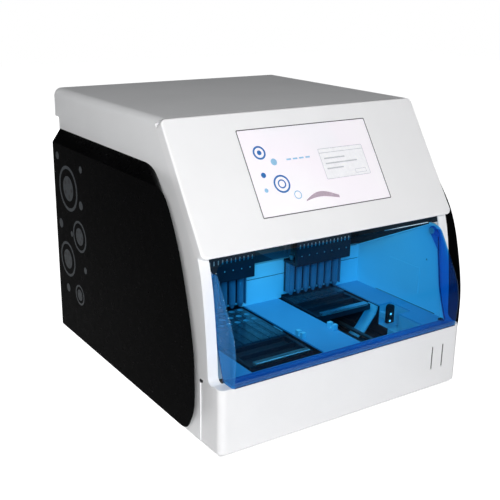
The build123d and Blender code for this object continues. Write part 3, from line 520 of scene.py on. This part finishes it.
dial = Shapes(lambda a, b, h: on_face(a, b, h), height=0.05, base=-0.2)
dial.ring(circle(-112, 170, 13), circle(-112, 170, 9.5))
dial.loop(circle(-112, 170, 4.5))
dial.ring(circle(-86, 108, 17), circle(-86, 108, 13.6))
dial.ring(circle(-86, 108, 8.5), circle(-86, 108, 6.0))
dial.loop(circle(-118, 128, 5.0))
dial.build("screen_dials", UI_BLUE, "chassis")

sky = Shapes(lambda a, b, h: on_face(a, b, h), height=0.04, base=-0.2)
sky.loop(circle(-88, 150, 6.5))
sky.loop(circle(-122, 100, 4.0))
sky.ring(circle(-60, 84, 8), circle(-60, 84, 6.2))
for k in range(4):
    sky.rect(-60 + k * 14, 150, -50 + k * 14, 153)
sky.build("screen_marks", UI_SKY, "chassis")

panel = Shapes(lambda a, b, h: on_face(a, b, h), height=0.03, base=-0.2)
panel.loop(round_rect(14, 104, 118, 164, 2.0))
panel.build("screen_panel", UI_PALE, "chassis")

lines = Shapes(lambda a, b, h: on_face(a, b, h), height=0.07, base=-0.2)
lines.ring(round_rect(14, 104, 118, 164, 2.0), round_rect(14.9, 104.9, 117.1, 163.1, 1.4))
lines.rect(14.9, 155, 117.1, 156)
lines.rect(22, 143, 70, 145.4)
lines.rect(22, 133, 96, 135.4)
lines.rect(22, 123, 60, 125.4)
lines.ring(round_rect(84, 109, 110, 117, 1.5), round_rect(84.8, 109.8, 109.2, 116.2, 1.0))
lines.build("screen_lines", UI_GREY, "chassis")

wave = Shapes(lambda a, b, h: on_face(a, b, h), height=0.035, base=-0.2)
top, bot = [], []
for i in range(33):
    t = i / 32
    a = -46 + 74 * t
    top.append((a, 72 + 10 * math.sin(math.pi * t * 1.15) + 5.0 * t))
    bot.append((a, 70 + 6 * math.sin(math.pi * t * 1.15) - 1.5 * math.sin(math.pi * t)))
wave.loop(top + bot[::-1])
wave.build("screen_wave", UI_DUSK, "chassis")


# ------------------------------------------------------------------ generic print on the black covers: rings and drops
def cover_print(side):
    s = -1 if side == "left" else 1

    def f(a, b, h):  # a: y in box coordinates, b: z in box coordinates
        return P(s * (310.0 + h), a, b)

    big = Shapes(f, height=0.10)
    for cy, cz, r, w in ((540, 352, 47, 6.5), (492, 262, 33, 5.0), (560, 196, 38, 5.5), (505, 132, 22, 4.0)):
        big.ring(circle(cy, cz, r, 56), circle(cy, cz, r - w, 56))
        big.loop(circle(cy, cz, r * 0.55, 48))
    for cy, cz, r in ((478, 330, 9), (588, 268, 10), (470, 196, 7), (566, 130, 9), (532, 258, 6), (472, 404, 7), (590, 412, 8)):
        big.loop(circle(cy, cz, r, 32))
    big.build(side + "_cover_print", SLATE, "chassis")
    small = Shapes(f, height=0.06, base=0.10)
    for cy, cz, r in ((540, 352, 47), (492, 262, 33), (560, 196, 38), (505, 132, 22)):
        for k in range(5):
            t = math.radians(40 + 72 * k)
            small.loop(circle(cy + r * 0.36 * math.cos(t), cz + r * 0.36 * math.sin(t), r * 0.10, 20))
    small.build(side + "_cover_dots", SLATE_D, "chassis")


cover_print("left")
cover_print("right")


# ------------------------------------------------------------------ indicator lights of the strip sensor
def dome(name, centre, normal, r, h, mat, body, seg=20, rings=5):
    z = Vector(normal).normalized()
    x = z.orthogonal().normalized()
    y = z.cross(x)
    verts, faces = [], []
    for i in range(rings):
        a = math.pi / 2 * i / rings
        for k in range(seg):
            t = 2 * math.pi * k / seg
            verts.append(Vector(centre) + (x * math.cos(t) + y * math.sin(t)) * r * math.cos(a) + z * h * math.sin(a))
    verts.append(Vector(centre) + z * h)
    for i in range(rings - 1):
        for k in range(seg):
            j = (k + 1) % seg
            faces.append((i * seg + k, i * seg + j, (i + 1) * seg + j, (i + 1) * seg + k))
    for k in range(seg):
        faces.append(((rings - 1) * seg + k, (rings - 1) * seg + (k + 1) % seg, len(verts) - 1))
    faces.append(tuple(range(seg - 1, -1, -1)))
    return piece(name, verts, faces, mat, body, smooth=True)


dome("sensor_light_upper", P(215.5, 130, 108), (0, -1, 0), 2.5 * MM, 1.2 * MM, LED, "chassis")
dome("sensor_light_lower", P(214.0, 130, 93), (0, -1, 0), 2.5 * MM, 1.2 * MM, LED, "chassis")

gap = Shapes(lambda a, b, h: P(268.0 - h, a, b), height=0.15)
gap.loop([(60.0, 120.9), (236.0, 120.9), (236.0, 122.1), (60.0, 122.6)])
gap.build("liner_gap", DARKER, "chassis")
# a pale, faintly glowing band along the liners' folded edges: painted highlight
FOLD_HIGHLIGHT = plain_print("folded_edge_painted_highlight", (0.72, 0.82, 0.88), 0.3, 0.22)
for s_ in (-1, 1):
    fold = Shapes(lambda a, b, h: P(s_ * (262.0 - h), a, b), height=0.2)
    fold.loop([(92.6, 302.0), (298.8, 204.9), (298.8, 206.2), (92.6, 303.4)])
    fold.build("liner_edge_" + ("left" if s_ < 0 else "right"), FOLD_HIGHLIGHT, "chassis")
groove = Shapes(lambda a, b, h: P(a, 300.9 - h, b), height=0.15)
groove.loop([(-267.0, 173.9), (267.0, 173.9), (267.0, 175.1), (-267.0, 175.1)])
groove.build("wall_groove", DARKER, "chassis")
dome("liner_screw", P(268, 93.2, 228.3), (-1, 0, 0), 2.2 * MM, 0.8 * MM, GREY, "chassis", seg=16, rings=4)
for s_ in (-1, 1):
    dome("seam_plug_" + ("left" if s_ < 0 else "right"), P(280 * s_, 60.4, 116.4), (s_, 0, 0), 4.3 * MM, 3.2 * MM, DARKER,
         "chassis", seg=16, rings=4)


# ------------------------------------------------------------------ polished edges of the door: dark lines where the sheet is seen end-on
DOOR_EDGE = plain_print("door_edge_blue", (0.006, 0.028, 0.13), 0.22)
low_edge = Shapes(lambda a, b, h: P(a, -6.9 - h, b), height=0.25)
low_edge.loop(round_rect(-257.0, 122.6, 257.0, 124.6, 0.9, 3))
low_edge.build("door_lower_edge", DOOR_EDGE, "door")
# the door's top edge: pale and glowing, a painted highlight
DOOR_TOP_HIGHLIGHT = banded("door_top_painted_highlight", (0.05, 0.20, 0.36), (0.62, 0.83, 0.95), 0, 0.142, soft=0.016)
highlight_inputs = DOOR_TOP_HIGHLIGHT.node_tree.nodes["Principled BSDF"].inputs
DOOR_TOP_HIGHLIGHT.node_tree.links.new(highlight_inputs["Base Color"].links[0].from_socket, highlight_inputs["Emission Color"])
highlight_inputs["Emission Strength"].default_value = 0.45
top_edge = Shapes(lambda a, b, h: P(a, b, 319.8 + h), height=0.25)
top_edge.loop([(118.0, 60.3), (230.0, 60.3), (230.0, 63.2), (118.0, 63.2)])
top_edge.build("door_upper_edge", DOOR_TOP_HIGHLIGHT, "door")
for s_ in (-1, 1):
    side_edge = Shapes(lambda a, b, h: P(s_ * (DOOR_HALF + h), a, b), height=0.20)
    pts = [(24.4, 124.0), (36.6, 157.0), (46.0, 189.0), (57.2, 259.0), (60.6, 286.0)]
    back = [(y - 2.2, z) for y, z in pts]
    side_edge.loop(pts + back[::-1])
    side_edge.build("door_flange_edge_" + ("left" if s_ < 0 else "right"), DOOR_EDGE, "door")

# ------------------------------------------------------------------ pins and fixing screws on the faces of the heads
for side in ("left", "right"):
    xc = WELL_X[side]
    pins = Shapes(lambda a, b, h: P(a, 250 - h, b), height=0.5)
    for k in range(14):
        x = xc + (k - 6.5) * PITCH / 2
        pins.loop(round_rect(x - 1.1, 240.5, x + 1.1, 249.5, 0.9, 3))
    pins.build(side + "_head_pins", ZINC, side + "_head_body")
    rail = Shapes(lambda a, b, h: P(a, 250 - h, b), height=0.25)
    rail.ring(round_rect(xc - 66.5, 238.0, xc + 66.5, 252.0, 2.0), round_rect(xc - 65.5, 239.0, xc + 65.5, 251.0, 1.4))
    rail.build(side + "_head_frame", DARKER, side + "_head_body")
    for k in range(7):
        dome(side + "_head_screw_" + str(k + 1), P(xc + (k - 3) * PITCH, 250, 224), (0, -1, 0), 1.5 * MM, 0.8 * MM, ZINC,
             side + "_head_body", seg=16, rings=4)

# ------------------------------------------------------------------ camera, light, floor
scene = bpy.context.scene
scene.view_settings.view_transform = "Standard"

cam_data = bpy.data.cameras.new("camera")
cam = bpy.data.objects.new("camera", cam_data)
scene.collection.objects.link(cam)
az, pitch, roll = (math.radians(a) for a in (-33.668, 18.142, 0.808))
fwd = Vector((-math.sin(az) * math.cos(pitch), math.cos(az) * math.cos(pitch), -math.sin(pitch)))
right = Vector((math.cos(az), math.sin(az), 0))
up = right.cross(fwd)
r2 = right * math.cos(roll) + up * math.sin(roll)
u2 = -right * math.sin(roll) + up * math.cos(roll)
rot = Matrix((r2, u2, -fwd)).transposed()
cam.matrix_world = Matrix.Translation(P(-946.7, -1064.8, 768.9)) @ rot.to_4x4()
cam_data.sensor_width = 36.0
cam_data.lens = 852.88 * 36.0 / 500.0
cam_data.shift_x = (250 - 244.16) / 500
cam_data.shift_y = (254.94 - 250) / 500
cam_data.clip_end = 50
scene.camera = cam


def area(name, loc, target, size, power, colour=(1, 1, 1)):
    d = bpy.data.lights.new(name, "AREA")
    d.shape = "RECTANGLE"
    d.size, d.size_y = size
    d.energy = power
    d.color = colour
    o = bpy.data.objects.new(name, d)
    scene.collection.objects.link(o)
    o.location = loc
    o.rotation_euler = (Vector(target) - Vector(loc)).to_track_quat("-Z", "Y").to_euler()
    return o


def aimed(az_deg, el_deg, dist):
    a_, e_ = math.radians(az_deg), math.radians(el_deg)
    return (math.sin(a_) * math.cos(e_) * dist, -math.cos(a_) * math.cos(e_) * dist, math.sin(e_) * dist + 0.28)


area("key", aimed(-35.5, 22, 3.3), (0, 0, 0.28), (0.6, 0.5), 72)
area("low_fill", aimed(-22, 3, 3.2), (0, 0, 0.2), (0.9, 0.5), 8.5)
area("fill_right", aimed(50, 20, 3.0), (0, 0, 0.28), (1.5, 1.5), 4)
area("back_fill", aimed(158, 8, 3.3), (0, 0, 0.28), (1.5, 1.2), 12).visible_glossy = False
area("above", (0.1, -0.5, 3.2), (0.0, -0.1, 0.3), (1.6, 1.6), 7)
area("chamber", P(10, 140, 330), P(10, 220, 110), (0.30, 0.10), 0.42, (0.80, 0.93, 1.0))

world = bpy.data.worlds.new("studio")
scene.world = world
world.use_nodes = True
wn = world.node_tree
wn.nodes.clear()
wo = wn.nodes.new("ShaderNodeOutputWorld")
bg_light = wn.nodes.new("ShaderNodeBackground")
bg_light.inputs["Color"].default_value = (0.93, 0.96, 1.0, 1)
bg_light.inputs["Strength"].default_value = 0.05
bg_seen = wn.nodes.new("ShaderNodeBackground")
bg_seen.inputs["Color"].default_value = (1, 1, 1, 1)
bg_seen.inputs["Strength"].default_value = 1.0
lp = wn.nodes.new("ShaderNodeLightPath")
mix = wn.nodes.new("ShaderNodeMixShader")
wn.links.new(lp.outputs["Is Camera Ray"], mix.inputs["Fac"])
wn.links.new(bg_light.outputs[0], mix.inputs[1])
wn.links.new(bg_seen.outputs[0], mix.inputs[2])
wn.links.new(mix.outputs[0], wo.inputs[0])

floor_me = bpy.data.meshes.new("floor")
R = 6.0
floor_me.from_pydata([(-R, -R, 0), (R, -R, 0), (R, R, 0), (-R, R, 0)], [], [(0, 1, 2, 3)])
floor = bpy.data.objects.new("floor", floor_me)
scene.collection.objects.link(floor)
fm, nt, p, _ = material("pale_floor")
v = coords(nt)
c = ramp(nt, noise(nt, v, 1.5, 2.0), [(0.3, (0.90, 0.90, 0.90)), (0.7, (0.93, 0.93, 0.93))])
nt.links.new(c, p.inputs["Base Color"])
p.inputs["Emission Color"].default_value = (1.0, 1.0, 1.0, 1)
seen = nt.nodes.new("ShaderNodeLightPath")
glow = nt.nodes.new("ShaderNodeMapRange")
glow.inputs["To Min"].default_value = 0.05
glow.inputs["To Max"].default_value = 0.97
nt.links.new(seen.outputs["Is Camera Ray"], glow.inputs["Value"])
# painted contact shadow: the floor's glow is dimmed under the unit
under = nt.nodes.new("ShaderNodeSeparateXYZ")
nt.links.new(v, under.inputs[0])
sides = [
    span(nt, under.outputs[0], 0.0, 1.0, -0.2775, -0.2735), span(nt, under.outputs[0], 1.0, 0.0, 0.2735, 0.2775),
    span(nt, under.outputs[1], 0.0, 1.0, -0.3255, -0.3205), span(nt, under.outputs[1], 1.0, 0.0, 0.314, 0.320),
]
shade = sides[0]
for part in sides[1:]:
    times = nt.nodes.new("ShaderNodeMath")
    times.operation = "MULTIPLY"
    nt.links.new(shade, times.inputs[0])
    nt.links.new(part, times.inputs[1])
    shade = times.outputs[0]
left_over = span(nt, shade, 1.0, 0.12, 0.0, 1.0)
dimmed = nt.nodes.new("ShaderNodeMath")
dimmed.operation = "MULTIPLY"
nt.links.new(glow.outputs["Result"], dimmed.inputs[0])
nt.links.new(left_over, dimmed.inputs[1])
nt.links.new(dimmed.outputs[0], p.inputs["Emission Strength"])
p.inputs["Roughness"].default_value = 0.9
floor_me.materials.append(fm)
